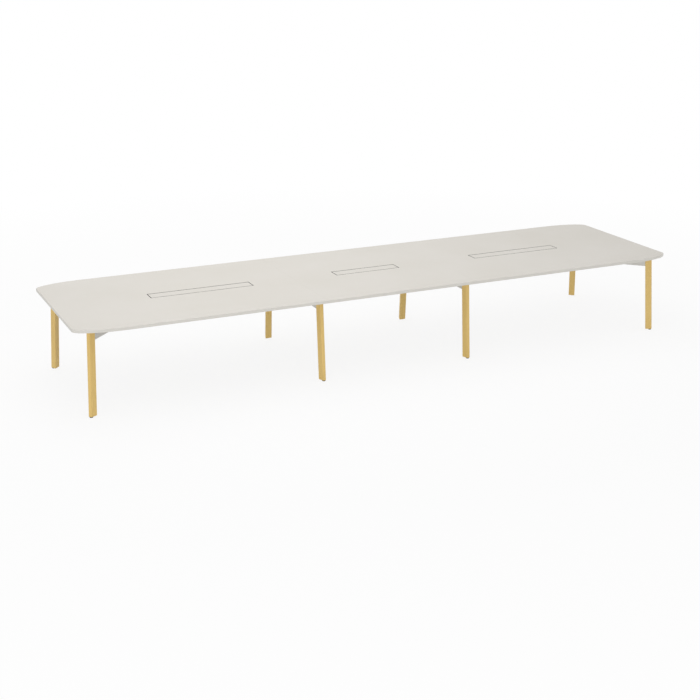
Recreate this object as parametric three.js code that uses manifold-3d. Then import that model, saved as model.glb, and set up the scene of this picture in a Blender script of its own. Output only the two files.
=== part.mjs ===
// Conference table: a three-panel top with flush cable hatches, on splayed wooden legs and a steel frame.
// Millimetres, +Z up, X along the table, near side at -Y. The origin is on the floor under the centre.

import * as THREE from 'three';
import { mergeVertices } from 'three/addons/utils/BufferGeometryUtils.js';
import Module from 'manifold-3d';

const wasm = await Module();
wasm.setup();

// Top
const TABLE_LENGTH = 5600;
const TABLE_WIDTH = 1500;
const TABLE_HEIGHT = 735;
const BOARD_THICKNESS = 25;
const CORNER_ALONG = 420; // the soft corner's reach along the long side
const CORNER_ACROSS = 130; // and along the end
const CORNER_STEPS = 12;
const EDGE_BAND = 2;
const SEAM_GAP = 0.3;

// Legs: a wedge section, narrow face outwards, the same all the way up
const LEG_INSET = 110; // leg's centre at the floor to the edge of the top
const MID_LEG_X = 700; // the middle legs stand under the panel seams
const LEG_INNER_WIDTH = 62;
const LEG_OUTER_WIDTH = 26;
const LEG_DEPTH = 55;
const LEG_EDGE_ROUND = 4;
const LEG_SPLAY = 50; // the leg's bottom stands out this far from its top

// Levelling feet
const FOOT_OUTWARD = 10; // from the leg's centre towards its narrow face
const PAD_RADIUS = 14;
const PAD_HEIGHT = 8;
const PAD_CHAMFER = 1.5;
const STUD_RADIUS = 4;
const STUD_LENGTH = 35;
const STUD_TIP_ROOM = 5;
const INSERT_RADIUS = 7;
const INSERT_LENGTH = 20;

// Steel frame, folded channels open underneath
const SHEET = 3;
const END_PLATE = 5;
const BEAM_WIDTH = 56;
const BEAM_DEPTH = 90;
const RAIL_Y = 260;
const RAIL_WIDTH = 40;
const RAIL_DEPTH = 60;
const RAIL_LIP = 10; // rail past the diagonal arm's landing

// Cable hatches on the centre line
const HATCH_WIDTH = 124;
const HATCH_TO_BEAM = 392; // cut-out to the beam's centre line
const HATCH_TO_TIE = 312; // cut-out to the end tie's centre line
const LID_GAP_NEAR = 4; // hinge side
const LID_GAP_FAR = 6; // cable slot
const LID_GAP_END = 4;
const PIVOT_INSET = 8; // pin centre to the lid's near edge and to its face
const PIN_RADIUS = 3;
const PIN_BITE = 14; // pin length held in each board
const BORE_END_ROOM = 1;
const BORE_CLEARANCE = 0.2;

// Cable trays
const TRAY_SHEET = 2;
const TRAY_DEPTH = 90;
const TRAY_MARGIN = 4; // tray wall outside the cut-out
const TRAY_FLANGE = 24;
const TRAY_OVERLAP = 30; // tray past each end of the cut-out
const TAB_LENGTH = 40;
const TAB_INSET = 20; // tab to the end of the cut-out
const TAB_BITE = 10; // tab under the lid

// Fits and facets
const SEAT_GAP = 0.3; // between pieces that bear on each other
const OVERCUT = 5; // a cutting tool past the face it opens
const ROUND_STEPS = 16;
const EDGE_STEPS = 3;

const HALF_LENGTH = TABLE_LENGTH / 2;
const HALF_WIDTH = TABLE_WIDTH / 2;
const UNDERSIDE = TABLE_HEIGHT - BOARD_THICKNESS;
const FRAME_TOP = UNDERSIDE - SEAT_GAP;
const LEG_BOTTOM = PAD_HEIGHT + SEAT_GAP;
const LEG_LEAN = LEG_SPLAY / UNDERSIDE;
const CORNER_LEG_X = HALF_LENGTH - LEG_INSET;
const LEG_Y = HALF_WIDTH - LEG_INSET;
const TIE_X = CORNER_LEG_X - (LEG_Y - RAIL_Y); // the 45 degree arm's centre line meets the rail's here
const SEAM_X = MID_LEG_X + SEAM_GAP / 2;
const HATCH_HALF_WIDTH = HATCH_WIDTH / 2;
const LID_NEAR_Y = LID_GAP_NEAR - HATCH_HALF_WIDTH;
const LID_FAR_Y = HATCH_HALF_WIDTH - LID_GAP_FAR;
const PIVOT_Y = LID_NEAR_Y + PIVOT_INSET;
const PIVOT_Z = TABLE_HEIGHT - PIVOT_INSET;

const ENDS = [['left', -1], ['right', 1]];
const SIDES = [['near', -1], ['far', 1]];
const HATCHES = [
  { bay: 'left', from: HATCH_TO_TIE - TIE_X, to: -MID_LEG_X - HATCH_TO_BEAM },
  { bay: 'middle', from: HATCH_TO_BEAM - MID_LEG_X, to: MID_LEG_X - HATCH_TO_BEAM },
  { bay: 'right', from: MID_LEG_X + HATCH_TO_BEAM, to: TIE_X - HATCH_TO_TIE },
];

const finishes = {
  board: new THREE.MeshStandardMaterial({ color: 0xdcd9d1, roughness: 0.55, metalness: 0 }),
  edge: new THREE.MeshStandardMaterial({ color: 0xd4d1ca, roughness: 0.5, metalness: 0 }),
  ash: new THREE.MeshStandardMaterial({ color: 0xd0b274, roughness: 0.5, metalness: 0 }),
  coat: new THREE.MeshStandardMaterial({ color: 0xc3c1bc, roughness: 0.45, metalness: 0.2 }),
  glide: new THREE.MeshStandardMaterial({ color: 0x161616, roughness: 0.6, metalness: 0 }),
  steel: new THREE.MeshStandardMaterial({ color: 0xb0b2b4, roughness: 0.35, metalness: 0.9 }),
};

const table = new THREE.Group();

function add(name, geometry, finish, place = () => {}) {
  const mesh = new THREE.Mesh(geometry, finishes[finish]);
  mesh.name = name;
  place(mesh);
  table.add(mesh);
}

// Solids and geometries
function toSolid(geometry) {
  const bare = geometry.clone();
  bare.deleteAttribute('normal');
  bare.deleteAttribute('uv');
  const merged = mergeVertices(bare);
  return new wasm.Manifold(new wasm.Mesh({
    numProp: 3,
    vertProperties: merged.getAttribute('position').array,
    triVerts: new Uint32Array(merged.index.array),
  }));
}

function toGeometry(solid) {
  const mesh = solid.getMesh();
  const geometry = new THREE.BufferGeometry();
  geometry.setAttribute('position', new THREE.BufferAttribute(mesh.vertProperties, 3));
  geometry.setIndex(new THREE.BufferAttribute(mesh.triVerts, 1));
  geometry.computeVertexNormals();
  return geometry;
}

function prism(shape, low, high) {
  const options = { depth: high - low, bevelEnabled: false, curveSegments: EDGE_STEPS };
  return new THREE.ExtrudeGeometry(shape, options).translate(0, 0, low);
}

function block(x, y, z) {
  const geometry = new THREE.BoxGeometry(x[1] - x[0], y[1] - y[0], z[1] - z[0]);
  return geometry.translate((x[0] + x[1]) / 2, (y[0] + y[1]) / 2, (z[0] + z[1]) / 2);
}

function uprightRod(radius, low, high) {
  const rod = new THREE.CylinderGeometry(radius, radius, high - low, ROUND_STEPS).rotateX(Math.PI / 2);
  return rod.translate(0, 0, (low + high) / 2);
}

function pivotRod(radius, from, to) {
  const rod = new THREE.CylinderGeometry(radius, radius, to - from, ROUND_STEPS).rotateZ(Math.PI / 2);
  return rod.translate((from + to) / 2, PIVOT_Y, PIVOT_Z);
}

function rectangle(x, y) {
  return [[x[0], y[0]], [x[1], y[0]], [x[1], y[1]], [x[0], y[1]]].map(([u, v]) => new THREE.Vector2(u, v));
}

// Top panels, edge bands and lids
function endOutline(inset) {
  const along = CORNER_ALONG - inset;
  const across = CORNER_ACROSS - inset;
  const x = HALF_LENGTH - CORNER_ALONG;
  const y = HALF_WIDTH - CORNER_ACROSS;
  const quarter = Math.PI / 2;
  return [
    new THREE.Vector2(SEAM_X, inset - HALF_WIDTH),
    ...new THREE.EllipseCurve(x, -y, along, across, -quarter, 0).getPoints(CORNER_STEPS),
    ...new THREE.EllipseCurve(x, y, along, across, 0, quarter).getPoints(CORNER_STEPS),
    new THREE.Vector2(SEAM_X, HALF_WIDTH - inset),
  ];
}

function pinBores(hatch) {
  const radius = PIN_RADIUS + BORE_CLEARANCE;
  const reach = PIN_BITE + BORE_END_ROOM;
  const first = toSolid(pivotRod(radius, hatch.from - reach, hatch.from + LID_GAP_END + reach));
  return first.add(toSolid(pivotRod(radius, hatch.to - LID_GAP_END - reach, hatch.to + reach)));
}

function panel(outline, hatch) {
  const shape = new THREE.Shape(outline);
  const cutOut = [-HATCH_HALF_WIDTH, HATCH_HALF_WIDTH];
  shape.holes.push(new THREE.Path(rectangle([hatch.from, hatch.to], cutOut)));
  return toGeometry(toSolid(prism(shape, UNDERSIDE, TABLE_HEIGHT)).subtract(pinBores(hatch)));
}

function addTop() {
  const [, middle, right] = HATCHES;
  const endPanel = panel(endOutline(EDGE_BAND), right);
  const strip = new THREE.Shape([...endOutline(0), ...endOutline(EDGE_BAND).reverse()]);
  const endBand = prism(strip, UNDERSIDE, TABLE_HEIGHT);
  for (const [end, sign] of ENDS) {
    add(`top_panel_${end}`, endPanel, 'board', (mesh) => mesh.scale.setX(sign));
    add(`edge_band_${end}`, endBand, 'edge', (mesh) => mesh.scale.setX(sign));
  }
  const long = [SEAM_GAP - SEAM_X, SEAM_X - SEAM_GAP];
  const core = HALF_WIDTH - EDGE_BAND;
  add('top_panel_middle', panel(rectangle(long, [-core, core]), middle), 'board');
  const sideBand = block(long, [core, HALF_WIDTH], [UNDERSIDE, TABLE_HEIGHT]);
  for (const [side, sign] of SIDES) {
    add(`edge_band_${side}`, sideBand, 'edge', (mesh) => mesh.scale.setY(sign));
  }
}

function addHatches() {
  for (const hatch of HATCHES) {
    const ends = [hatch.from + LID_GAP_END, hatch.to - LID_GAP_END];
    const board = toSolid(block(ends, [LID_NEAR_Y, LID_FAR_Y], [UNDERSIDE, TABLE_HEIGHT]));
    add(`lid_${hatch.bay}`, toGeometry(board.subtract(pinBores(hatch))), 'board');
    const pins = [
      ['first', hatch.from - PIN_BITE, ends[0] + PIN_BITE],
      ['second', ends[1] - PIN_BITE, hatch.to + PIN_BITE],
    ];
    for (const [which, from, to] of pins) {
      add(`lid_pin_${hatch.bay}_${which}`, pivotRod(PIN_RADIUS, from, to), 'steel');
    }
    add(`cable_tray_${hatch.bay}`, toGeometry(tray(hatch)), 'coat');
  }
}

// A folded trough with flanges under the panel, and two tabs that stop the lid
function tray(hatch) {
  const inside = HATCH_HALF_WIDTH + TRAY_MARGIN;
  const outside = inside + TRAY_SHEET;
  const brim = outside + TRAY_FLANGE;
  const floor = FRAME_TOP - TRAY_DEPTH;
  const lip = FRAME_TOP - TRAY_SHEET;
  const innerFold = [[inside, floor + TRAY_SHEET], [inside, FRAME_TOP], [brim, FRAME_TOP]];
  const outerFold = [[brim, lip], [outside, lip], [outside, floor]];
  const half = [...innerFold, ...outerFold];
  const nearHalf = half.map(([y, z]) => new THREE.Vector2(-y, z));
  const farHalf = half.map(([y, z]) => new THREE.Vector2(y, z)).reverse();
  const length = hatch.to - hatch.from + 2 * TRAY_OVERLAP;
  const section = new THREE.Shape([...nearHalf, ...farHalf]);
  const toLength = new THREE.Matrix4().makeBasis(
    new THREE.Vector3(0, 1, 0),
    new THREE.Vector3(0, 0, 1),
    new THREE.Vector3(1, 0, 0),
  );
  const trough = prism(section, 0, length).applyMatrix4(toLength).translate(hatch.from - TRAY_OVERLAP, 0, 0);
  let solid = toSolid(trough);
  for (const start of [hatch.from + TAB_INSET, hatch.to - TAB_INSET - TAB_LENGTH]) {
    const tab = block([start, start + TAB_LENGTH], [LID_FAR_Y - TAB_BITE, outside], [lip, FRAME_TOP]);
    solid = solid.add(toSolid(tab));
  }
  return solid;
}

// Legs, outward along their own +X
function roundedShape(corners, radius) {
  const shape = new THREE.Shape();
  corners.forEach((corner, i) => {
    const before = corners.at(i - 1).clone().sub(corner).setLength(radius).add(corner);
    const after = corners[(i + 1) % corners.length].clone().sub(corner).setLength(radius).add(corner);
    if (i === 0) shape.moveTo(before.x, before.y);
    else shape.lineTo(before.x, before.y);
    shape.quadraticCurveTo(corner.x, corner.y, after.x, after.y);
  });
  return shape;
}

function lean(geometry) {
  return geometry.applyMatrix4(new THREE.Matrix4().makeShear(0, 0, 0, 0, -LEG_LEAN, 0));
}

function leg() {
  const corners = [
    new THREE.Vector2(-LEG_DEPTH / 2, LEG_INNER_WIDTH / 2),
    new THREE.Vector2(-LEG_DEPTH / 2, -LEG_INNER_WIDTH / 2),
    new THREE.Vector2(LEG_DEPTH / 2, -LEG_OUTER_WIDTH / 2),
    new THREE.Vector2(LEG_DEPTH / 2, LEG_OUTER_WIDTH / 2),
  ];
  const wood = toSolid(lean(prism(roundedShape(corners, LEG_EDGE_ROUND), LEG_BOTTOM, FRAME_TOP)));
  const insertTop = LEG_BOTTOM + INSERT_LENGTH + SEAT_GAP;
  const studTop = PAD_HEIGHT + STUD_LENGTH + STUD_TIP_ROOM;
  const insertBore = uprightRod(INSERT_RADIUS + SEAT_GAP, 0, insertTop);
  const studBore = uprightRod(STUD_RADIUS + 2 * SEAT_GAP, 0, studTop);
  const bores = toSolid(insertBore).add(toSolid(studBore)).translate([FOOT_OUTWARD, 0, 0]);
  return toGeometry(wood.subtract(bores));
}

function foot() {
  const top = PAD_HEIGHT + STUD_LENGTH;
  const pad = [[0, 0], [PAD_RADIUS - PAD_CHAMFER, 0], [PAD_RADIUS, PAD_CHAMFER], [PAD_RADIUS, PAD_HEIGHT]];
  const stud = [[STUD_RADIUS, PAD_HEIGHT], [STUD_RADIUS, top], [0, top]];
  return turned([...pad, ...stud]).translate(FOOT_OUTWARD, 0, 0);
}

function insert() {
  const bore = STUD_RADIUS + SEAT_GAP;
  const top = LEG_BOTTOM + INSERT_LENGTH;
  const outline = [[bore, LEG_BOTTOM], [INSERT_RADIUS, LEG_BOTTOM], [INSERT_RADIUS, top], [bore, top]];
  return turned([...outline, outline[0]]).translate(FOOT_OUTWARD, 0, 0);
}

function turned(outline) {
  const points = outline.map(([radius, height]) => new THREE.Vector2(radius, height));
  return new THREE.LatheGeometry(points, ROUND_STEPS).rotateX(Math.PI / 2);
}

function addLegs() {
  const legGeometry = leg();
  const footGeometry = foot();
  const insertGeometry = insert();
  for (const [end, alongSign] of ENDS) {
    for (const [side, acrossSign] of SIDES) {
      const y = acrossSign * LEG_Y;
      const places = [
        { at: `${side}_${end}`, x: alongSign * CORNER_LEG_X, outward: Math.atan2(acrossSign, alongSign) },
        { at: `${side}_mid${end}`, x: alongSign * MID_LEG_X, outward: acrossSign * Math.PI / 2 },
      ];
      for (const { at, x, outward } of places) {
        const place = (mesh) => {
          mesh.position.set(x, y, 0);
          mesh.rotation.z = outward;
        };
        add(`leg_${at}`, legGeometry, 'ash', place);
        add(`foot_${at}`, footGeometry, 'glide', place);
        add(`foot_insert_${at}`, insertGeometry, 'steel', place);
      }
    }
  }
}

// Everything outwards of a leg's inner face, held off by a gap
function legSide(x, y, outward, gap) {
  const reach = TABLE_WIDTH;
  const slab = block([-LEG_DEPTH / 2 - gap, reach], [-reach, reach], [0, TABLE_HEIGHT]);
  return toSolid(lean(slab).rotateZ(outward).translate(x, y, 0));
}

// A channel folded from sheet, with an end plate against each leg it carries
function channel(outerPlan, innerPlan, depth, legs = []) {
  const low = FRAME_TOP - depth;
  let outer = toSolid(prism(new THREE.Shape(outerPlan), low, FRAME_TOP));
  let hollow = toSolid(prism(new THREE.Shape(innerPlan), low - OVERCUT, FRAME_TOP - SHEET));
  for (const [x, y, outward] of legs) {
    outer = outer.subtract(legSide(x, y, outward, SEAT_GAP));
    hollow = hollow.subtract(legSide(x, y, outward, SEAT_GAP + END_PLATE));
  }
  return toGeometry(outer.subtract(hollow));
}

function straightChannel(x, y, alongX, depth) {
  const [insetX, insetY] = alongX ? [END_PLATE, SHEET] : [SHEET, END_PLATE];
  const inner = rectangle([x[0] + insetX, x[1] - insetX], [y[0] + insetY, y[1] - insetY]);
  return channel(rectangle(x, y), inner, depth);
}

// Plan of the far right arm: from the leg inwards at 45 degrees, cut off along the rail
function armPlan(width, stopY) {
  const slant = width / Math.SQRT2 / 2;
  const landing = (sign) => CORNER_LEG_X - (LEG_Y - stopY) - sign * 2 * slant;
  return [
    new THREE.Vector2(CORNER_LEG_X + slant, LEG_Y - slant),
    new THREE.Vector2(CORNER_LEG_X - slant, LEG_Y + slant),
    new THREE.Vector2(landing(1), stopY),
    new THREE.Vector2(landing(-1), stopY),
  ];
}

function addFrame() {
  const railOuter = RAIL_Y + RAIL_WIDTH / 2;
  const railInner = RAIL_Y - RAIL_WIDTH / 2;
  const armStop = railOuter + SEAT_GAP;
  const outerPlan = armPlan(BEAM_WIDTH, armStop);
  const innerPlan = armPlan(BEAM_WIDTH - 2 * SHEET, armStop + END_PLATE);
  const arm = channel(outerPlan, innerPlan, BEAM_DEPTH, [[CORNER_LEG_X, LEG_Y, Math.PI / 4]]);

  const half = BEAM_WIDTH / 2;
  const beamX = [-half, half];
  const hollowX = [SHEET - half, half - SHEET];
  const legs = SIDES.map(([, sign]) => [0, sign * LEG_Y, sign * Math.PI / 2]);
  const span = [-LEG_Y, LEG_Y];
  const beam = channel(rectangle(beamX, span), rectangle(hollowX, span), BEAM_DEPTH, legs);

  const tieX = [TIE_X - RAIL_WIDTH / 2, TIE_X + RAIL_WIDTH / 2];
  const tieY = railInner - SEAT_GAP;
  const tie = straightChannel(tieX, [-tieY, tieY], false, RAIL_DEPTH);

  const landingEnd = outerPlan[3].x;
  const endRailX = [MID_LEG_X + half + SEAT_GAP, landingEnd + RAIL_LIP];
  const endRail = straightChannel(endRailX, [railInner, railOuter], true, RAIL_DEPTH);
  const bayEnd = MID_LEG_X - half - SEAT_GAP;
  const middleRail = straightChannel([-bayEnd, bayEnd], [railInner, railOuter], true, RAIL_DEPTH);

  for (const [end, alongSign] of ENDS) {
    add(`cross_beam_${end}`, beam, 'coat', (mesh) => mesh.position.setX(alongSign * MID_LEG_X));
    add(`end_tie_${end}`, tie, 'coat', (mesh) => mesh.scale.setX(alongSign));
    for (const [side, acrossSign] of SIDES) {
      add(`arm_${side}_${end}`, arm, 'coat', (mesh) => mesh.scale.set(alongSign, acrossSign, 1));
      add(`rail_${side}_${end}`, endRail, 'coat', (mesh) => mesh.scale.set(alongSign, acrossSign, 1));
    }
  }
  for (const [side, acrossSign] of SIDES) {
    add(`rail_${side}_middle`, middleRail, 'coat', (mesh) => mesh.scale.setY(acrossSign));
  }
}

addTop();
addHatches();
addLegs();
addFrame();

export default table;
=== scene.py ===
"""Looks of a long conference table: pale board top with flush hatches, ash legs, coated steel frame."""

import math

import bmesh
import bpy
from mathutils import Matrix, Vector


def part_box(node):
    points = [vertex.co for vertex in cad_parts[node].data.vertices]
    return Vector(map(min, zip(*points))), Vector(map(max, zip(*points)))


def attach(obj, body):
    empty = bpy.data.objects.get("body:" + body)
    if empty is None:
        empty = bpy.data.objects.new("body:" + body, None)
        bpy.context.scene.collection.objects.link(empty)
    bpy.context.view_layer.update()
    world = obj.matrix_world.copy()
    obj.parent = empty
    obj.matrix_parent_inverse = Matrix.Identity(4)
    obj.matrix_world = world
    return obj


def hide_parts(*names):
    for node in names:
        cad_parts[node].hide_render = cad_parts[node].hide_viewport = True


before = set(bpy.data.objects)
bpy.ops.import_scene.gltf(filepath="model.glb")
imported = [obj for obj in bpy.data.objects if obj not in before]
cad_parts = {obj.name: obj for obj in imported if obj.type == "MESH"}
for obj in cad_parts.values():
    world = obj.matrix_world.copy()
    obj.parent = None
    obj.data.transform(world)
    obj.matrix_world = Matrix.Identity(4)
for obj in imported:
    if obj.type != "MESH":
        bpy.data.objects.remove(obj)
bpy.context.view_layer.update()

MM = 0.001
# Margins for picking faces and edges, and for joining points
TINY = 0.01 * MM
WELD = 0.001 * MM
# A face looks along an axis where its normal has at least this share of it
FACING = 0.99
# Edges past this angle shade sharp
SHARP_ANGLE = math.radians(50)
UP = Vector((0, 0, 1))
DOWN = -UP
QUARTER_TURN = Matrix.Rotation(math.pi / 2, 4, "Z")
BAYS = ("left", "middle", "right")
ENDS = {"left": -1, "right": 1}
SIDES = {"near": -1, "far": 1}


def node_size(name):
    low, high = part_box(name)
    return high - low


def node_middle(name):
    low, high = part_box(name)
    return (low + high) / 2


# Places and sizes read from the frame
band_low, band_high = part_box("edge_band_right")
HALF_LENGTH = band_high.x
HALF_WIDTH = band_high.y
TOP_Z = band_high.z
UNDER_Z = band_low.z
SEAM_X = band_low.x
EDGE_BAND = node_size("edge_band_near").y
FRAME_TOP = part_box("cross_beam_right")[1].z
BEAM_WIDTH = node_size("cross_beam_right").x
BEAM_DEPTH = node_size("cross_beam_right").z
RAIL_WIDTH = node_size("rail_near_left").y
RAIL_DEPTH = node_size("rail_near_left").z
LEG_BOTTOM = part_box("leg_near_left")[0].z
PAD_RADIUS = node_size("foot_near_midleft").x / 2
STUD_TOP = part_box("foot_near_midleft")[1].z

# Top
CORNER_ALONG = 420 * MM
CORNER_ACROSS = 130 * MM
CORNER_STEPS = 40
BAND_ROUND = 1.6 * MM
SEAM_ARRIS = 0.2 * MM
HATCH_ARRIS = 0.5 * MM
# Width of the strip of painted shade round each hatch cut-out on the board's top, which darkens the gap line
HATCH_SHADE_RIM = 2 * MM
# Width of the strip of painted shade round each lid's top
LID_SHADE_RIM = 0.7 * MM
LID_GAP_NEAR = 4 * MM
LID_GAP_FAR = 6 * MM
LID_GAP_END = 4 * MM
BORE_RADIUS = 3.2 * MM
BORE_DEPTH = 15 * MM
BORE_STEPS = 24
PIN_CHAMFER = 0.6 * MM
PIN_STEPS = 32

# Legs and feet
SEAT_GAP = 0.3 * MM
LEG_INNER_WIDTH = 62 * MM
LEG_OUTER_WIDTH = 26 * MM
LEG_DEPTH = 55 * MM
LEG_SPLAY = 50 * MM
LEG_LEAN = LEG_SPLAY / UNDER_Z
LEG_EDGE_ROUND = 4 * MM
LEG_SOLE_ROUND = 1.2 * MM
FOOT_OUTWARD = 10 * MM
PAD_TOP = LEG_BOTTOM - SEAT_GAP
PAD_TOP_CHAMFER = 1 * MM
PAD_CHAMFER = 1.5 * MM
PAD_EASE = 0.6 * MM
PAD_DISH = 0.8 * MM
PAD_DISH_RADIUS = 7.7 * MM
PAD_RING_RADIUS = 9.1 * MM
PAD_STEPS = 40
STUD_RADIUS = 4 * MM
STUD_PITCH = 1.25 * MM
STUD_THREAD_DEPTH = 0.6 * MM
STUD_STEPS = 20

# Steel frame
SHEET = 3 * MM
END_PLATE = 5 * MM
FOLD_ROUND = 5 * MM
PLATE_ARRIS = 0.6 * MM
TRIM_ROOM = 5 * MM  # a bar's blank past the planes that trim it
PLATE_ARRIS_ANGLE = math.radians(30)
TRAY_SHEET = 2 * MM
TRAY_FOLD = 2.5 * MM
TRAY_FLANGE = 24 * MM
TAB_LENGTH = 40 * MM
TAB_INSET = 20 * MM
TAB_BITE = 10 * MM
TAB_ROUND = 5 * MM

# Fasteners. Drops are measured from the top of the frame, reaches from the leg
HEXAGON = 6
BOLT_RADIUS = 7.4 * MM
BOLT_HEIGHT = 5.3 * MM
BOLT_CROWN_ROUND = 0.8 * MM
WASHER_RADIUS = 8.5 * MM
WASHER_HEIGHT = 1.6 * MM
WASHER_STEPS = 24
SCREW_RADIUS = 4.8 * MM
SCREW_CROWN = 3.2 * MM
SCREW_HEIGHT = 2.7 * MM
SCREW_STEPS = 16
SOCKET_RADIUS = 1.7 * MM
SOCKET_DEPTH = 1.6 * MM
LEG_BOLT_DROPS = (26 * MM, 66 * MM)
RAIL_BOLT_DROPS = (19 * MM, 41 * MM)
ARM_BOLT_DROP = 30 * MM
ARM_BOLT_OFFSETS = (-18 * MM, 18 * MM)
ARM_SCREW_REACHES = (150 * MM, 330 * MM)
BAY_SCREWS = {"left": 4, "middle": 3, "right": 4}
BEAM_SCREWS = 4
TIE_SCREWS = 2


# Mesh helpers
def only(geometry, kind):
    return [item for item in geometry if isinstance(item, kind)]


def block(bm, low, high):
    """A block between two corners."""
    size = Vector(high) - Vector(low)
    middle = (Vector(low) + Vector(high)) / 2
    place = Matrix.Translation(middle) @ Matrix.Diagonal((*size, 1))
    return bmesh.ops.create_cube(bm, size=1, matrix=place)["verts"]


def stub(bm, steps, foot, crown, height, lift=0):
    """A round or many-sided stub that stands at a lift, with a radius at its foot and one at its crown."""
    place = Matrix.Translation((0, 0, lift + height / 2))
    bmesh.ops.create_cone(
        bm, cap_ends=True, segments=steps, radius1=foot, radius2=crown, depth=height, matrix=place,
    )


def round_edges(bm, edges, radius, segments):
    bmesh.ops.bevel(
        bm, geom=list(edges), offset=radius, offset_type="OFFSET", segments=segments,
        profile=0.5, affect="EDGES", material=-1,
    )


def edges_at(verts):
    """The edges that meet at points, each once, in the same order every run."""
    return list(dict.fromkeys(edge for vert in verts for edge in vert.link_edges))


def slit(bm, faces, point, normal):
    """Splits faces along a plane."""
    edges = list(dict.fromkeys(edge for face in faces for edge in face.edges))
    verts = list(dict.fromkeys(vert for face in faces for vert in face.verts))
    bmesh.ops.bisect_plane(bm, geom=verts + edges + faces, plane_co=point, plane_no=normal)


def trim(bm, point, normal):
    """Cuts off what lies past a plane and closes the cut."""
    everything = bm.verts[:] + bm.edges[:] + bm.faces[:]
    cut = bmesh.ops.bisect_plane(bm, geom=everything, plane_co=point, plane_no=normal, clear_outer=True)
    rim = only(cut["geom_cut"], bmesh.types.BMEdge)
    bmesh.ops.holes_fill(bm, edges=rim, sides=0)


def thicken_down(bm, depth):
    """Turns flat faces into a board of that depth below them."""
    made = bmesh.ops.extrude_face_region(bm, geom=bm.faces[:])["geom"]
    bmesh.ops.translate(bm, vec=DOWN * depth, verts=only(made, bmesh.types.BMVert))
    bmesh.ops.recalc_face_normals(bm, faces=bm.faces)


def drill(bm, face, place, radius, depth, steps):
    """Bores a blind hole into a flat face, with the place's +Z pointing out of the hole."""
    finish = face.material_index
    known = set(bm.faces)
    rim = face.edges[:]
    bmesh.ops.delete(bm, geom=[face], context="FACES_ONLY")
    ring = bmesh.ops.create_circle(bm, segments=steps, radius=radius, matrix=place)["verts"]
    mouth = edges_at(ring)
    bmesh.ops.triangle_fill(bm, use_beauty=True, edges=rim + mouth)
    wall = bmesh.ops.extrude_edge_only(bm, edges=mouth)["geom"]
    inwards = place.to_3x3() @ (DOWN * depth)
    bmesh.ops.translate(bm, vec=inwards, verts=only(wall, bmesh.types.BMVert))
    bmesh.ops.contextual_create(bm, geom=only(wall, bmesh.types.BMEdge))
    for made in set(bm.faces) - known:
        made.material_index = finish
    bmesh.ops.recalc_face_normals(bm, faces=bm.faces)


def turned(outline, steps):
    """Spins an outline of (radius, height) points about +Z."""
    bm = bmesh.new()
    verts = [bm.verts.new((radius, 0, height)) for radius, height in outline]
    edges = [bm.edges.new(pair) for pair in zip(verts, verts[1:])]
    bmesh.ops.spin(
        bm, geom=verts + edges, cent=(0, 0, 0), axis=UP, dvec=(0, 0, 0),
        angle=2 * math.pi, steps=steps, use_merge=True,
    )
    bmesh.ops.remove_doubles(bm, verts=bm.verts, dist=WELD)
    bmesh.ops.recalc_face_normals(bm, faces=bm.faces)
    return bm


def as_shape(bm):
    """Keeps a finished mesh for stamping."""
    shape = bpy.data.meshes.new("shape")
    bm.to_mesh(shape)
    bm.free()
    return shape


def stamp(bm, shape, place=Matrix.Identity(4)):
    """Adds a copy of a shape at a place."""
    count = len(bm.verts)
    bm.from_mesh(shape)
    bm.verts.ensure_lookup_table()
    bmesh.ops.transform(bm, matrix=place, verts=bm.verts[count:])


def aimed(point, direction):
    """A place whose +Z points in a direction."""
    turn = Vector(direction).to_track_quat("Z", "Y").to_matrix().to_4x4()
    return Matrix.Translation(point) @ turn


def facing(centre, outward):
    """A place whose +X points outwards, level with the floor."""
    turn = outward.to_track_quat("X", "Z").to_matrix().to_4x4()
    return Matrix.Translation(centre) @ turn


def mirror_to_end(bm, sign):
    """Mirrors a right-hand mesh to the left end where the sign says so."""
    if sign < 0:
        bmesh.ops.scale(bm, vec=(-1, 1, 1), verts=bm.verts)
        bmesh.ops.reverse_faces(bm, faces=bm.faces)


def is_arris(edge):
    """True for an edge between a flat face and an upright one."""
    if len(edge.link_faces) != 2:
        return False
    heights = sorted(abs(face.normal.z) for face in edge.link_faces)
    return heights[0] < 1 - FACING and heights[1] > FACING


def at_seam(edge):
    """True for an edge that lies along the seam between two panels."""
    first, second = (vert.co.x for vert in edge.verts)
    return abs(first - second) < TINY and abs(abs(first) - SEAM_X) < MM


def rise(edge):
    """How much higher one end of an edge is than the other."""
    return abs(edge.verts[0].co.z - edge.verts[1].co.z)


def piece(name, bm, finishes, body, node=None):
    """Makes a mesh into a piece that rides on a body and may stand for a CAD node."""
    mesh = bpy.data.meshes.new(name)
    bm.to_mesh(mesh)
    bm.free()
    for finish in finishes:
        mesh.materials.append(finish)
    mesh.polygons.foreach_set("use_smooth", [True] * len(mesh.polygons))
    mesh.set_sharp_from_angle(angle=SHARP_ANGLE)
    made = bpy.data.objects.new(name, mesh)
    bpy.context.scene.collection.objects.link(made)
    even = made.modifiers.new("even_shading", "WEIGHTED_NORMAL")
    even.keep_sharp = True
    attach(made, body)
    if node:
        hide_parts(node)


# Finishes
def paint(red, green, blue):
    """A colour given as it looks, from 0 to 255, turned into the linear values that shaders take."""
    def linear(value):
        share = value / 255
        return share / 12.92 if share <= 0.04045 else ((share + 0.055) / 1.055) ** 2.4
    return (linear(red), linear(green), linear(blue), 1)


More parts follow.
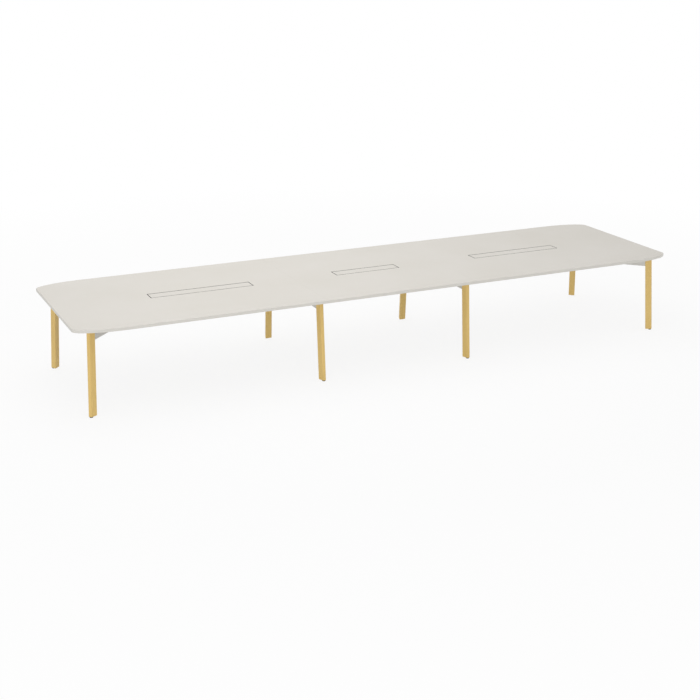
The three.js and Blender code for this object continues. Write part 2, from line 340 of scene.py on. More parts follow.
class Nodes:
    """A node tree, with short calls that add nodes and link them."""

    def __init__(self, tree):
        self.tree = tree

    def node(self, kind, inputs=None, **settings):
        made = self.tree.nodes.new(kind)
        for key, value in settings.items():
            setattr(made, key, value)
        for key, value in (inputs or {}).items():
            self.feed(made.inputs[key], value)
        return made

    def feed(self, socket, value):
        if isinstance(value, bpy.types.NodeSocket):
            self.tree.links.new(value, socket)
        else:
            socket.default_value = value

    def spread(self, value, low=0.3, high=0.7, to=(0.0, 1.0)):
        """Maps values between low and high, by default the bulk of a noise, and holds both ends."""
        inputs = {"Value": value, "From Min": low, "From Max": high, "To Min": to[0], "To Max": to[1]}
        return self.node("ShaderNodeMapRange", inputs).outputs["Result"]

    def sum_up(self, operation, first, second):
        return self.node("ShaderNodeMath", {0: first, 1: second}, operation=operation).outputs[0]

    def times(self, first, second):
        return self.sum_up("MULTIPLY", first, second)

    def plus(self, first, second):
        return self.sum_up("ADD", first, second)

    def seen_share(self):
        """1 for rays that show the background: camera, glossy and transmission rays."""
        path = self.node("ShaderNodeLightPath").outputs
        mirrored = self.sum_up("MAXIMUM", path["Is Camera Ray"], path["Is Glossy Ray"])
        return self.sum_up("MAXIMUM", mirrored, path["Is Transmission Ray"])


class Finish(Nodes):
    """One material whose patterns read the piece's own coordinates."""

    def __init__(self, name):
        self.material = bpy.data.materials.new(name)
        self.material.use_nodes = True
        super().__init__(self.material.node_tree)
        self.shader = self.tree.nodes["Principled BSDF"]
        self.place = self.node("ShaderNodeTexCoord").outputs["Object"]

    def set(self, **values):
        for key, value in values.items():
            self.feed(self.shader.inputs[key.replace("_", " ")], value)

    def stretched(self, scale, turn=(0, 0, 0), place=None):
        inputs = {"Vector": place or self.place, "Scale": scale, "Rotation": turn}
        return self.node("ShaderNodeMapping", inputs).outputs["Vector"]

    def noise(self, scale, detail=2.0, roughness=0.5, place=None):
        place = place or self.place
        inputs = {"Vector": place, "Scale": scale, "Detail": detail, "Roughness": roughness}
        return self.node("ShaderNodeTexNoise", inputs).outputs["Fac"]

    def mix(self, share, first, second):
        made = self.node("ShaderNodeMix", data_type="RGBA")
        self.feed(made.inputs["Factor"], share)
        self.feed(made.inputs[6], first)
        self.feed(made.inputs[7], second)
        return made.outputs[2]

    def bump(self, height, distance, strength):
        inputs = {"Height": height, "Distance": distance, "Strength": strength}
        self.set(Normal=self.node("ShaderNodeBump", inputs).outputs["Normal"])


def board_finish():
    """Matt warm-grey melamine with a faint cloud in its print and a fine pearl texture."""
    finish = Finish("board_melamine")
    cloud = finish.noise(1.7, detail=4, roughness=0.55)
    fleck = finish.noise(650)
    tone = finish.mix(finish.spread(cloud), paint(219, 215, 208), paint(217, 213, 205))
    speckled = finish.mix(finish.spread(fleck, 0.6, 0.75, (0, 0.35)), tone, paint(207, 203, 196))
    gloss = finish.spread(cloud, to=(0.5, 0.6))
    finish.set(Base_Color=speckled, Roughness=gloss, Specular_IOR_Level=0.3)
    finish.bump(finish.noise(1400), distance=0.05 * MM, strength=0.25)
    return finish.material


def drawn_lines(finish):
    """The fine lines along an edge band that its drawing leaves."""
    return finish.noise(1, detail=3, roughness=0.6, place=finish.stretched((9, 9, 1600)))


def band_finish():
    """Plastic edge band in the board's colour."""
    finish = Finish("edge_band_plastic")
    drawn = drawn_lines(finish)
    tone = finish.mix(drawn, paint(212, 209, 202), paint(206, 203, 196))
    finish.set(Base_Color=tone, Roughness=finish.spread(drawn, 0.2, 0.8, (0.4, 0.5)))
    finish.bump(drawn, distance=0.04 * MM, strength=0.3)
    return finish.material


def hatch_shade_finish():
    """Painted shade: a dark grey edge band on the hatch cut-outs and lids that darkens the gaps round the
    lids, paler in random patches.
    """
    finish = Finish("hatch_painted_shade")
    drawn = drawn_lines(finish)
    scuff = finish.noise(55, detail=5, roughness=0.65)
    tone = finish.mix(finish.spread(scuff, 0.56, 0.75, (0, 0.6)), paint(58, 56, 53), paint(84, 81, 77))
    finish.set(Base_Color=tone, Roughness=finish.spread(drawn, 0.2, 0.8, (0.45, 0.6)))
    finish.bump(drawn, distance=0.04 * MM, strength=0.3)
    return finish.material


def growth_layers(finish):
    """Bands across the wood that wander along the leg, each darkening towards a sharp edge."""
    wander = finish.noise(1, detail=3, roughness=0.55, place=finish.stretched((14, 14, 1.6)))
    shift = finish.node("ShaderNodeVectorMath", {0: (0.05, 0.035, 0), "Scale": wander}, operation="SCALE")
    bent = finish.node("ShaderNodeVectorMath", {0: finish.place, 1: shift.outputs[0]}, operation="ADD")
    across = finish.stretched((1, 1, 0.04), turn=(0, 0, math.radians(31)), place=bent.outputs[0])
    inputs = {"Vector": across, "Scale": 62, "Distortion": 1.2, "Detail": 2, "Detail Scale": 1.5}
    return finish.node(
        "ShaderNodeTexWave", inputs, wave_type="BANDS", bands_direction="X", wave_profile="SAW",
    ).outputs["Fac"]


def wood_finish():
    """Clear-lacquered ash: wandering growth layers, long fibres and short open pores."""
    finish = Finish("lacquered_ash")
    layers = growth_layers(finish)
    fibre = finish.noise(1, detail=3, roughness=0.6, place=finish.stretched((900, 900, 14)))
    pore = finish.noise(1, detail=1, place=finish.stretched((1500, 1500, 60)))
    patch = finish.noise(1, place=finish.stretched((9, 9, 2.5)))

    tone = finish.mix(finish.spread(patch), paint(226, 195, 120), paint(217, 184, 108))
    ringed = finish.mix(finish.spread(layers, 0.25, 1.0, (0, 0.5)), tone, paint(188, 148, 78))
    streaked = finish.mix(finish.spread(fibre, 0.35, 0.7, (0, 0.35)), ringed, paint(230, 202, 132))
    open_pores = finish.times(finish.spread(pore, 0.62, 0.7), finish.spread(layers, 0.45, 0.95))
    pored = finish.mix(finish.times(open_pores, 0.55), streaked, paint(146, 108, 58))
    finish.set(Base_Color=pored, Roughness=finish.spread(fibre, to=(0.42, 0.55)))
    relief = finish.plus(finish.times(open_pores, -1.0), finish.times(fibre, 0.4))
    finish.bump(relief, distance=0.12 * MM, strength=0.35)
    return finish.material


def coat_finish():
    """Light grey powder coat with a fine orange peel."""
    finish = Finish("grey_powder_coat")
    peel = finish.noise(850, roughness=0.45)
    cloud = finish.noise(4, detail=3)
    tone = finish.mix(finish.spread(cloud), paint(206, 204, 199), paint(200, 198, 192))
    finish.set(Base_Color=tone, Roughness=finish.spread(peel, to=(0.4, 0.52)))
    finish.bump(peel, distance=0.12 * MM, strength=0.3)
    return finish.material


def glide_finish():
    """Black moulded plastic, rubbed a little paler in patches."""
    finish = Finish("black_glide_plastic")
    grain = finish.noise(1600)
    rub = finish.noise(160, detail=4, roughness=0.6)
    tone = finish.mix(finish.spread(rub, 0.55, 0.8, (0, 0.5)), paint(24, 24, 25), paint(52, 51, 50))
    finish.set(Base_Color=tone, Roughness=finish.spread(rub, to=(0.5, 0.68)))
    finish.bump(grain, distance=0.06 * MM, strength=0.4)
    return finish.material


def zinc_finish():
    """Zinc-plated steel with a soft spangle and fine handling marks."""
    finish = Finish("zinc_plate")
    spangle = finish.node("ShaderNodeTexVoronoi", {"Vector": finish.place, "Scale": 420})
    cloud = finish.noise(220, detail=3)
    plate = finish.mix(finish.spread(cloud), paint(196, 198, 201), paint(176, 178, 182))
    tone = finish.mix(0.06, plate, spangle.outputs["Color"])
    finish.set(Base_Color=tone, Metallic=1.0, Roughness=finish.spread(cloud, to=(0.28, 0.42)))
    finish.bump(finish.noise(900), distance=0.03 * MM, strength=0.3)
    return finish.material


BOARD = board_finish()
BAND = band_finish()
HATCH_SHADE = hatch_shade_finish()
WOOD = wood_finish()
COAT = coat_finish()
GLIDE = glide_finish()
ZINC = zinc_finish()

# A board's finishes, and the slot of each; the third is painted shade round the hatch cut-outs
BOARD_FINISHES = [BOARD, BAND, HATCH_SHADE]
FACED, BANDED, SHADE_PAINTED = range(3)


# Top
def end_outline(bm, inset, closed):
    """Draws the right end's outline from the seam round the near corner, and mirrors it to the far side."""
    known = set(bm.verts)
    start = bm.verts.new((0, -1, 0))
    bmesh.ops.spin(
        bm, geom=[start], cent=(0, 0, 0), axis=UP, dvec=(0, 0, 0),
        angle=math.pi / 2, steps=CORNER_STEPS, use_merge=False,
    )
    arc = [vert for vert in bm.verts if vert not in known]
    bmesh.ops.scale(bm, vec=(CORNER_ALONG - inset, CORNER_ACROSS - inset, 1), verts=arc)
    centre = (HALF_LENGTH - CORNER_ALONG, CORNER_ACROSS - HALF_WIDTH, TOP_Z)
    bmesh.ops.translate(bm, vec=centre, verts=arc)
    ends = sorted(arc, key=lambda vert: vert.co.x)
    seam = bmesh.ops.extrude_vert_indiv(bm, verts=[ends[0]])["verts"]
    seam[0].co.x = SEAM_X
    middle = bmesh.ops.extrude_vert_indiv(bm, verts=[ends[-1]])["verts"]
    middle[0].co.y = 0
    if closed:
        seam_middle = bmesh.ops.extrude_vert_indiv(bm, verts=seam)["verts"]
        seam_middle[0].co.y = 0
    drawn = [vert for vert in bm.verts if vert not in known]
    edges = edges_at(drawn)
    bmesh.ops.mirror(bm, geom=drawn + edges, matrix=Matrix.Identity(4), merge_dist=WELD, axis="Y")
    whole = [vert for vert in bm.verts if vert not in known]
    return edges_at(whole)


def cut_out(bay):
    """The hatch's cut-out, as the lid and its gaps."""
    low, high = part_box(f"lid_{bay}")
    return low - Vector((LID_GAP_END, LID_GAP_NEAR, 0)), high + Vector((LID_GAP_END, LID_GAP_FAR, 0))


def bore_for_pin(bm, face, bay, x, outwards):
    """Bores a pin hole into a face that looks along the table."""
    pin = node_middle(f"lid_pin_{bay}_first")
    place = aimed((x, pin.y, pin.z), (outwards, 0, 0))
    drill(bm, face, place, BORE_RADIUS, BORE_DEPTH, BORE_STEPS)


def cut_board(bm, bay):
    """Makes the closed outline a board with a hatch lined in painted shade, eased edges and bores for the
    lid's pins.
    """
    low, high = cut_out(bay)
    shade_rim = Vector((HATCH_SHADE_RIM, HATCH_SHADE_RIM, 0))
    surround = (low - shade_rim, high + shade_rim)

    def abreast(element, margin):
        """True where a whole face or edge lies in the cut-out's stretch of the table, or a margin past it."""
        return all(low.x - margin < vert.co.x < high.x + margin for vert in element.verts)

    def at_hatch(element, margin=TINY):
        """True where a whole face or edge lies in the cut-out, or within a margin of it."""
        beside = all(low.y - margin < vert.co.y < high.y + margin for vert in element.verts)
        return beside and abreast(element, margin)

    bmesh.ops.contextual_create(bm, geom=bm.edges[:])
    for corner in surround:
        slit(bm, bm.faces[:], corner, (1, 0, 0))
    for corner in surround:
        slit(bm, [face for face in bm.faces if abreast(face, HATCH_SHADE_RIM + TINY)], corner, (0, 1, 0))
    opening = [face for face in bm.faces if at_hatch(face, HATCH_SHADE_RIM + TINY)]
    bmesh.ops.inset_individual(bm, faces=opening, thickness=HATCH_SHADE_RIM, use_even_offset=True)
    # Painted shade: the strip of the top round the cut-out takes the dark finish
    for face in bm.faces:
        face.material_index = SHADE_PAINTED if at_hatch(face, HATCH_SHADE_RIM + TINY) else FACED
    bmesh.ops.delete(bm, geom=opening, context="FACES")
    thicken_down(bm, TOP_Z - UNDER_Z)
    # Painted shade: the cut-out's walls take the dark finish, which stands in for the shade in the gap
    for face in bm.faces:
        if abs(face.normal.z) < 1 - FACING:
            face.material_index = SHADE_PAINTED if at_hatch(face) else BANDED

    rim = [edge for edge in bm.edges if is_arris(edge) and at_hatch(edge)]
    round_edges(bm, rim, HATCH_ARRIS, segments=2)
    seams = [edge for edge in bm.edges if is_arris(edge) and at_seam(edge)]
    round_edges(bm, seams, SEAM_ARRIS, segments=2)
    for x, outwards in ((low.x, 1), (high.x, -1)):
        walls = [face for face in bm.faces if face.normal.x * outwards > FACING]
        wall = min(walls, key=lambda face: abs(face.calc_center_median().x - x))
        bore_for_pin(bm, wall, bay, x, outwards)


def make_boards():
    for end, sign in ENDS.items():
        bm = bmesh.new()
        end_outline(bm, EDGE_BAND, closed=True)
        cut_board(bm, "right")
        mirror_to_end(bm, sign)
        piece(f"board_{end}", bm, BOARD_FINISHES, "table", f"top_panel_{end}")
    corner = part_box("top_panel_middle")[1]
    sheet = Matrix.Translation(UP * TOP_Z) @ Matrix.Diagonal((corner.x, corner.y, 1, 1))
    bm = bmesh.new()
    bmesh.ops.create_grid(bm, size=1, matrix=sheet)
    bmesh.ops.delete(bm, geom=bm.faces[:], context="FACES_ONLY")
    cut_board(bm, "middle")
    piece("board_middle", bm, BOARD_FINISHES, "table", "top_panel_middle")


def round_outside(bm):
    """Rounds the arrises of an edge band that face away from the table, and leaves its ends square."""
    outside = []
    for edge in bm.edges:
        if at_seam(edge) or not is_arris(edge):
            continue
        wall = min(edge.link_faces, key=lambda face: abs(face.normal.z))
        middle = (edge.verts[0].co + edge.verts[1].co) / 2
        if wall.normal.x * middle.x + wall.normal.y * middle.y > 0:
            outside.append(edge)
    round_edges(bm, outside, BAND_ROUND, segments=4)


def make_bands():
    for end, sign in ENDS.items():
        bm = bmesh.new()
        outer = end_outline(bm, 0, closed=False)
        inner = end_outline(bm, EDGE_BAND, closed=False)
        bmesh.ops.bridge_loops(bm, edges=outer + inner)
        thicken_down(bm, TOP_Z - UNDER_Z)
        round_outside(bm)
        mirror_to_end(bm, sign)
        piece(f"band_{end}", bm, [BAND], "table", f"edge_band_{end}")
    for side in SIDES:
        bm = bmesh.new()
        block(bm, *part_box(f"edge_band_{side}"))
        round_outside(bm)
        piece(f"band_{side}", bm, [BAND], "table", f"edge_band_{side}")


def make_lids():
    for bay in BAYS:
        low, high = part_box(f"lid_{bay}")
        bm = bmesh.new()
        block(bm, low, high)
        round_edges(bm, bm.edges, HATCH_ARRIS, segments=2)
        # Painted shade: the lid's walls and a thin strip round its top take the dark finish, which stands in
        # for the shade in the gaps
        finishes = [BOARD, HATCH_SHADE]
        flats = [face for face in bm.faces if abs(face.normal.z) > FACING]
        bmesh.ops.inset_individual(bm, faces=flats, thickness=LID_SHADE_RIM, use_even_offset=True)
        for face in bm.faces:
            face.material_index = finishes.index(BOARD if face in flats else HATCH_SHADE)
        for x, outwards in ((low.x, -1), (high.x, 1)):
            end = max(bm.faces, key=lambda face: face.normal.x * outwards * face.calc_area())
            bore_for_pin(bm, end, bay, x, outwards)
        piece(f"hatch_lid_{bay}", bm, finishes, f"lid_{bay}", f"lid_{bay}")


def make_pins():
    for bay in BAYS:
        for which in ("first", "second"):
            node = f"lid_pin_{bay}_{which}"
            radius = node_size(node).z / 2
            half = node_size(node).x / 2
            outline = [(0, -half), (radius - PIN_CHAMFER, -half), (radius, PIN_CHAMFER - half)]
            outline += [(across, -along) for across, along in reversed(outline)]
            bm = turned(outline, PIN_STEPS)
            bmesh.ops.transform(bm, matrix=aimed(node_middle(node), (1, 0, 0)), verts=bm.verts)
            piece(f"pivot_pin_{bay}_{which}", bm, [ZINC], "table", node)


# Legs and feet
def leg_places():
    """Each leg's name, its centre on the floor, and the way it stands out."""
    for end, along in ENDS.items():
        for side, across in SIDES.items():
            outward = {
                f"{side}_{end}": Vector((along, across, 0)).normalized(),
                f"{side}_mid{end}": Vector((0, across, 0)),
            }
            for name, direction in outward.items():
                foot = node_middle(f"foot_{name}")
                foot.z = 0
                yield name, foot - direction * FOOT_OUTWARD, direction


LEGS = {name: (centre, outward) for name, centre, outward in leg_places()}


def leg_face(name, gap):
    """The plane of a leg's inner face, held off by a gap, as a point and the normal into the leg."""
    centre, outward = LEGS[name]
    return centre - outward * (LEG_DEPTH / 2 + gap), (outward + UP * LEG_LEAN).normalized()


def make_legs():
    lean = Matrix.Identity(4)
    lean[0][2] = -LEG_LEAN
    depth = LEG_DEPTH / 2
    width = LEG_INNER_WIDTH / 2
    for name, (centre, outward) in LEGS.items():
        bm = bmesh.new()
        verts = block(bm, (-depth, -width, LEG_BOTTOM), (depth, width, FRAME_TOP))
        outer = [vert for vert in verts if vert.co.x > 0]
        bmesh.ops.scale(bm, vec=(1, LEG_OUTER_WIDTH / LEG_INNER_WIDTH, 1), verts=outer)
        upright = [edge for edge in bm.edges if rise(edge) > LEG_DEPTH]
        round_edges(bm, upright, LEG_EDGE_ROUND, segments=6)
        sole = [edge for edge in bm.edges if is_arris(edge) and edge.verts[0].co.z < LEG_BOTTOM + MM]
        round_edges(bm, sole, LEG_SOLE_ROUND, segments=3)
        bmesh.ops.transform(bm, matrix=facing(centre, outward) @ lean, verts=bm.verts)
        piece(f"ash_leg_{name}", bm, [WOOD], "table", f"leg_{name}")


def pad_shape():
    """A moulded pad with a dished underside, standing on the plane z = 0."""
    dish = [(0, PAD_DISH), (PAD_DISH_RADIUS, PAD_DISH), (PAD_RING_RADIUS, 0)]
    lower = [(PAD_RADIUS - PAD_CHAMFER, 0), (PAD_RADIUS - PAD_EASE, PAD_EASE), (PAD_RADIUS, PAD_CHAMFER)]
    upper = [(PAD_RADIUS, PAD_TOP - PAD_TOP_CHAMFER), (PAD_RADIUS - PAD_TOP_CHAMFER, PAD_TOP)]
    return as_shape(turned([*dish, *lower, *upper, (0, PAD_TOP)], PAD_STEPS))


def stud_shape():
    """A stud with a groove for each turn of its thread, standing on the pad."""
    root = STUD_RADIUS - STUD_THREAD_DEPTH
    outline = [(0, PAD_TOP), (STUD_RADIUS, PAD_TOP)]
    height = PAD_TOP + STUD_PITCH
    while height < STUD_TOP - STUD_PITCH:
        outline += [(STUD_RADIUS, height), (root, height + STUD_PITCH / 2)]
        height += STUD_PITCH
    outline += [(root, STUD_TOP), (0, STUD_TOP)]
    return as_shape(turned(outline, STUD_STEPS))


def make_feet():
    pad = pad_shape()
    stud = stud_shape()
    for name, (centre, outward) in LEGS.items():
        place = Matrix.Translation(centre + outward * FOOT_OUTWARD)
        bm = bmesh.new()
        stamp(bm, pad, place)
        piece(f"glide_pad_{name}", bm, [GLIDE], f"foot_{name}", f"foot_{name}")
        bm = bmesh.new()
        stamp(bm, stud, place)
        piece(f"glide_stud_{name}", bm, [ZINC], f"foot_{name}")


# Steel frame
def folded(low, high, place):
    """A solid bar with its two upper long edges rounded like a fold, along the place's X."""
    bm = bmesh.new()
    block(bm, low, high)
    upper = [edge for edge in bm.edges if all(vert.co.z > high[2] - MM for vert in edge.verts)]
    folds = [edge for edge in upper if abs(edge.verts[0].co.x - edge.verts[1].co.x) > MM]
    round_edges(bm, folds, FOLD_ROUND, segments=5)
    bmesh.ops.transform(bm, matrix=place, verts=bm.verts)
    return bm


def end_plate(bar, outer, inner):
    """The slice of a solid bar between two planes, with eased edges."""
    trim(bar, *outer)
    point, normal = inner
    trim(bar, point, -normal)
    closed = [edge for edge in bar.edges if edge.is_manifold]
    arrises = [edge for edge in closed if edge.calc_face_angle() > PLATE_ARRIS_ANGLE]
    round_edges(bar, arrises, PLATE_ARRIS, segments=2)
    return as_shape(bar)


def channel(length, width, depth, place, ends):
    """A folded channel, open below, with an end plate between the outer and inner plane of each end."""
    low = (-length / 2 - TRIM_ROOM, -width / 2, FRAME_TOP - depth)
    high = (length / 2 + TRIM_ROOM, width / 2, FRAME_TOP)
    steel = folded(low, high, place)
    along = place.to_3x3() @ Vector((1, 0, 0))
    bottom = [face for face in steel.faces if face.normal.z < -FACING]
    end_faces = [face for face in steel.faces if abs(face.normal.dot(along)) > FACING]
    bmesh.ops.delete(steel, geom=bottom + end_faces, context="FACES")
    bmesh.ops.solidify(steel, geom=steel.faces[:], thickness=SHEET)
    bmesh.ops.recalc_face_normals(steel, faces=steel.faces)
    for _, inner in ends:
        trim(steel, *inner)
    for outer, inner in ends:
        stamp(steel, end_plate(folded(low, high, place), outer, inner))
    return steel


def square_ends(low, high, axis):
    """The planes of two end plates that stand square across an axis."""
    normal = Vector((0, 0, 0))
    normal[axis] = 1
    inset = normal * END_PLATE
    return [((high, normal), (high - inset, normal)), ((low, -normal), (low + inset, -normal))]


def leg_end(name):
    """The planes of an end plate that seats on a leg."""
    return leg_face(name, SEAT_GAP), leg_face(name, SEAT_GAP + END_PLATE)


def arm_landing(side, end):
    """How far across the table an arm's end plate meets the rail."""
    low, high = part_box(f"arm_{side}_{end}")
    return min(low.y, high.y, key=abs)


def make_beams():
    for end in ENDS:
        node = f"cross_beam_{end}"
        place = Matrix.Translation((node_middle(node).x, 0, 0)) @ QUARTER_TURN
        ends = [leg_end(f"{side}_mid{end}") for side in SIDES]
        bm = channel(node_size(node).y, BEAM_WIDTH, BEAM_DEPTH, place, ends)
        piece(f"steel_beam_{end}", bm, [COAT], "table", node)


def make_arms():
    for end in ENDS:
        for side, across in SIDES.items():
            name = f"{side}_{end}"
            landing = Vector((0, arm_landing(side, end), 0))
            into_rail = Vector((0, -across, 0))
            rail_end = ((landing, into_rail), (landing - into_rail * END_PLATE, into_rail))
            blank = 2 * (node_size(f"arm_{name}").xy.length + BEAM_WIDTH + LEG_DEPTH)
            bm = channel(blank, BEAM_WIDTH, BEAM_DEPTH, facing(*LEGS[name]), [leg_end(name), rail_end])
            piece(f"steel_arm_{name}", bm, [COAT], "table", f"arm_{name}")


def make_rails():
    for side in SIDES:
        for bay in BAYS:
            node = f"rail_{side}_{bay}"
            middle = node_middle(node)
            place = Matrix.Translation((middle.x, middle.y, 0))
            bm = channel(node_size(node).x, RAIL_WIDTH, RAIL_DEPTH, place, square_ends(*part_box(node), 0))
            piece(f"steel_rail_{side}_{bay}", bm, [COAT], "table", node)


def make_ties():
    for end in ENDS:
        node = f"end_tie_{end}"
        place = Matrix.Translation((node_middle(node).x, 0, 0)) @ QUARTER_TURN
        bm = channel(node_size(node).y, RAIL_WIDTH, RAIL_DEPTH, place, square_ends(*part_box(node), 1))
        piece(f"steel_tie_{end}", bm, [COAT], "table", node)


def folded_tray(low, high, wall):
    """A tray of folded sheet, open above and at both ends, with a flange along each wall."""
    bm = bmesh.new()
    half = [(wall, low.z + TRAY_SHEET), (wall, high.z), (high.y, high.z)]
    section = [(-y, z) for y, z in reversed(half)] + half
    verts = [bm.verts.new((low.x, y, z)) for y, z in section]
    edges = [bm.edges.new(pair) for pair in zip(verts, verts[1:])]
    made = bmesh.ops.extrude_edge_only(bm, edges=edges)["geom"]
    bmesh.ops.translate(bm, vec=(high.x - low.x, 0, 0), verts=only(made, bmesh.types.BMVert))
    folds = [edge for edge in bm.edges if len(edge.link_faces) == 2]
    round_edges(bm, folds, TRAY_FOLD, segments=4)
    bmesh.ops.recalc_face_normals(bm, faces=bm.faces)
    if max(bm.faces, key=lambda face: face.calc_area()).normal.z < 0:
        bmesh.ops.reverse_faces(bm, faces=bm.faces)
    bmesh.ops.solidify(bm, geom=bm.faces[:], thickness=TRAY_SHEET)
    bmesh.ops.recalc_face_normals(bm, faces=bm.faces)
    return bm


def lid_tab(low, high):
    """A flat tab with its two free corners rounded, for a lid to rest on."""
    bm = bmesh.new()
    block(bm, low, high)
    corners = [edge for edge in bm.edges if rise(edge) > MM and edge.verts[0].co.y < low[1] + MM]
    round_edges(bm, corners, TAB_ROUND, segments=5)
    return as_shape(bm)


def make_trays():
    for bay in BAYS:
        low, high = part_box(f"cable_tray_{bay}")
        opening_low, opening_high = cut_out(bay)
        wall = high.y - TRAY_FLANGE - TRAY_SHEET
        bm = folded_tray(low, high, wall)
        free_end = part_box(f"lid_{bay}")[1].y - TAB_BITE
        for start in (opening_low.x + TAB_INSET, opening_high.x - TAB_INSET - TAB_LENGTH):
            tab_low = (start, free_end, high.z - TRAY_SHEET)
            tab_high = (start + TAB_LENGTH, wall + TRAY_SHEET, high.z)
            stamp(bm, lid_tab(tab_low, tab_high))
        piece(f"tray_{bay}", bm, [COAT], "table", f"cable_tray_{bay}")


# Fasteners
def bolt_shape():
    """A hexagon bolt head on its washer, standing on the plane z = 0."""
    bm = bmesh.new()
    stub(bm, WASHER_STEPS, WASHER_RADIUS, WASHER_RADIUS, WASHER_HEIGHT)
    stub(bm, HEXAGON, BOLT_RADIUS, BOLT_RADIUS, BOLT_HEIGHT, WASHER_HEIGHT)
    crown = WASHER_HEIGHT + BOLT_HEIGHT - TINY
    rim = [edge for edge in bm.edges if all(vert.co.z > crown for vert in edge.verts)]
    round_edges(bm, rim, BOLT_CROWN_ROUND, segments=2)
    return as_shape(bm)


def screw_shape():
    """A button-head screw with a hexagon socket, standing on the plane z = 0."""
    bm = bmesh.new()
    stub(bm, SCREW_STEPS, SCREW_RADIUS, SCREW_CROWN, SCREW_HEIGHT)
    crown = next(face for face in bm.faces if face.normal.z > FACING)
    drill(bm, crown, Matrix.Translation(UP * SCREW_HEIGHT), SOCKET_RADIUS, SOCKET_DEPTH, HEXAGON)
    return as_shape(bm)


def evenly(low, high, count):
    """Places spread along a length, half a step in from its ends."""
    step = (high - low) / count
    return [low + step * (number + 0.5) for number in range(count)]


def make_leg_bolts(shape):
    """Two bolts through each beam's or arm's end plate into the leg."""
    bm = bmesh.new()
    for name, (centre, outward) in LEGS.items():
        _, normal = leg_face(name, 0)
        for drop in LEG_BOLT_DROPS:
            height = FRAME_TOP - drop
            back = LEG_DEPTH / 2 + SEAT_GAP + END_PLATE + LEG_LEAN * height
            stamp(bm, shape, aimed(centre - outward * back + UP * height, -normal))
    piece("leg_bolts", bm, [ZINC], "table")


def make_frame_bolts(shape):
    """Bolts through the end plates of arms, rails and ties."""
    bm = bmesh.new()
    for end, along in ENDS.items():
        for side, across in SIDES.items():
            centre, _ = LEGS[f"{side}_{end}"]
            seat_y = arm_landing(side, end) + across * END_PLATE
            middle_x = centre.x - along * (abs(centre.y) - abs(seat_y))
            for offset in ARM_BOLT_OFFSETS:
                point = (middle_x + offset, seat_y, FRAME_TOP - ARM_BOLT_DROP)
                stamp(bm, shape, aimed(point, (0, across, 0)))
    for drop in RAIL_BOLT_DROPS:
        height = FRAME_TOP - drop
        for side in SIDES:
            for bay in BAYS:
                low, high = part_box(f"rail_{side}_{bay}")
                middle_y = (low.y + high.y) / 2
                if bay != "right":
                    stamp(bm, shape, aimed((high.x - END_PLATE, middle_y, height), (-1, 0, 0)))
                if bay != "left":
                    stamp(bm, shape, aimed((low.x + END_PLATE, middle_y, height), (1, 0, 0)))
        for end in ENDS:
            low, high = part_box(f"end_tie_{end}")
            middle_x = (low.x + high.x) / 2
            stamp(bm, shape, aimed((middle_x, high.y - END_PLATE, height), (0, -1, 0)))
            stamp(bm, shape, aimed((middle_x, low.y + END_PLATE, height), (0, 1, 0)))
    piece("frame_bolts", bm, [ZINC], "table")


def screw_places():
    """Where screws go up through the steel into the boards."""
    under_web = FRAME_TOP - SHEET
    under_flange = FRAME_TOP - TRAY_SHEET
    for side in SIDES:
        for bay, count in BAY_SCREWS.items():
            low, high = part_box(f"rail_{side}_{bay}")
            for x in evenly(low.x, high.x, count):
                yield x, (low.y + high.y) / 2, under_web
    for end in ENDS:
        low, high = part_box(f"cross_beam_{end}")
        for y in evenly(low.y, high.y, BEAM_SCREWS):
            for offset in (-BEAM_WIDTH / 4, BEAM_WIDTH / 4):
                yield (low.x + high.x) / 2 + offset, y, under_web
        low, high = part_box(f"end_tie_{end}")
        for y in evenly(low.y, high.y, TIE_SCREWS):
            yield (low.x + high.x) / 2, y, under_web
        for side in SIDES:
            centre, outward = LEGS[f"{side}_{end}"]
            for reach in ARM_SCREW_REACHES:
                yield centre - outward * reach + UP * under_web
    for bay, count in BAY_SCREWS.items():
        low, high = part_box(f"cable_tray_{bay}")
        for x in evenly(low.x, high.x, count):
            for y in (low.y + TRAY_FLANGE / 2, high.y - TRAY_FLANGE / 2):
                yield x, y, under_flange


def make_top_screws(shape):
    bm = bmesh.new()
    for point in screw_places():
        stamp(bm, shape, aimed(point, DOWN))
    piece("top_screws", bm, [ZINC], "table")


def refinish_inserts():
    """The threaded inserts keep their CAD shape and take the zinc finish."""
    for name in LEGS:
        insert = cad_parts[f"foot_insert_{name}"]
        insert.data.materials.clear()
        insert.data.materials.append(ZINC)


# Stage: the camera stands where a fit to the table's corners, feet and hatch lines puts it
CAMERA_PLACE = (-4.8864, -10.1238, 3.7560)
CAMERA_PITCH = math.radians(18.580)
CAMERA_YAW = math.radians(25.069)
CAMERA_LENS = 66.83
CAMERA_SENSOR = 36
CAMERA_REACH = 500
FLOOR_REACH = 120.0
FLOOR_COLOUR = (0.9, 0.9, 0.9, 1)
# The floor shows this white within the first distance from the middle, and full white past the second
FLOOR_WHITENESS = 0.86
FLOOR_FADE = (3.2, 7.5)
SKY_LEVEL = 0.56
SKY_COLOUR = (1, 1, 1, 1)
LIT_POINT = Vector((0, 0, 0.5))
# Soft boxes: place, width and height, power, and whether the pieces mirror them
LAMPS = {
    "overhead_box": ((-1.4, 0.4, 5.7), (10.0, 5.0), 168.0, True),
    "front_left_box": ((-13.0, -17.0, 3.0), (13.0, 5.0), 1260.0, True),
    "right_box": ((16.0, -4.0, 3.0), (12.0, 5.0), 430.0, True),
    "back_box": ((5.0, 14.0, 2.5), (26.0, 4.0), 900.0, False),
}


def make_camera():
    lens = bpy.data.cameras.new("photo_camera")
    lens.sensor_width = CAMERA_SENSOR
    lens.lens = CAMERA_LENS
    lens.clip_end = CAMERA_REACH
    camera = bpy.data.objects.new("photo_camera", lens)
    camera.location = CAMERA_PLACE
    camera.rotation_euler = (math.pi / 2 - CAMERA_PITCH, 0, -CAMERA_YAW)
    bpy.context.scene.collection.objects.link(camera)
    bpy.context.scene.camera = camera


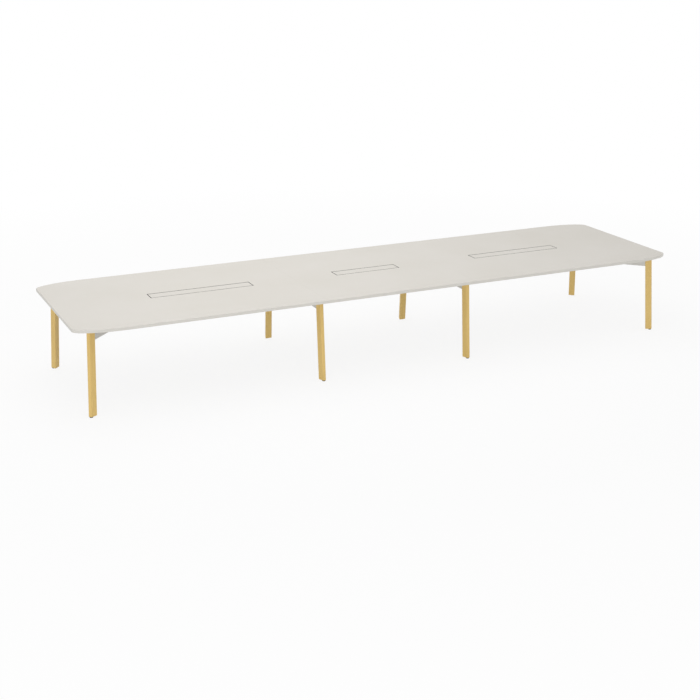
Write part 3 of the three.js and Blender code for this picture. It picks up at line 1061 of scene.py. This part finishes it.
def floor_finish():
    """Matt white that shows mostly its own white, and so keeps the table's shadow only faintly."""
    finish = Finish("studio_white")
    finish.tree.nodes.remove(finish.shader)
    away = finish.node("ShaderNodeVectorMath", {0: finish.place}, operation="LENGTH")
    whiteness = finish.spread(away.outputs["Value"], *FLOOR_FADE, (FLOOR_WHITENESS, 1))
    share = finish.times(finish.seen_share(), whiteness)
    matt = finish.node("ShaderNodeBsdfDiffuse", {"Color": FLOOR_COLOUR})
    glow = finish.node("ShaderNodeEmission")
    mixed = finish.node("ShaderNodeMixShader", {"Fac": share, 1: matt.outputs[0], 2: glow.outputs[0]})
    finish.feed(finish.tree.nodes["Material Output"].inputs["Surface"], mixed.outputs[0])
    return finish.material


def make_floor():
    bm = bmesh.new()
    bmesh.ops.create_grid(bm, size=FLOOR_REACH)
    mesh = bpy.data.meshes.new("studio_floor")
    bm.to_mesh(mesh)
    bm.free()
    mesh.materials.append(floor_finish())
    floor = bpy.data.objects.new("studio_floor", mesh)
    bpy.context.scene.collection.objects.link(floor)


def make_sky():
    world = bpy.data.worlds.new("studio")
    world.use_nodes = True
    bpy.context.scene.world = world
    sky = Nodes(world.node_tree)
    background = world.node_tree.nodes["Background"]
    sky.feed(background.inputs["Color"], SKY_COLOUR)
    sky.feed(background.inputs["Strength"], sky.spread(sky.seen_share(), 0, 1, (SKY_LEVEL, 1)))


def make_lamps():
    for name, (place, (width, height), power, mirrored) in LAMPS.items():
        lamp = bpy.data.lights.new(name, "AREA")
        lamp.shape = "RECTANGLE"
        lamp.size = width
        lamp.size_y = height
        lamp.energy = power
        box = bpy.data.objects.new(name, lamp)
        box.location = place
        box.visible_camera = False
        box.visible_glossy = mirrored
        box.rotation_euler = (LIT_POINT - Vector(place)).to_track_quat("-Z", "Y").to_euler()
        bpy.context.scene.collection.objects.link(box)


make_boards()
make_bands()
make_lids()
make_pins()
make_legs()
make_feet()
make_beams()
make_arms()
make_rails()
make_ties()
make_trays()
bolt = bolt_shape()
make_leg_bolts(bolt)
make_frame_bolts(bolt)
make_top_screws(screw_shape())
refinish_inserts()
make_floor()
make_sky()
make_lamps()
make_camera()
bpy.context.scene.view_settings.view_transform = "Standard"
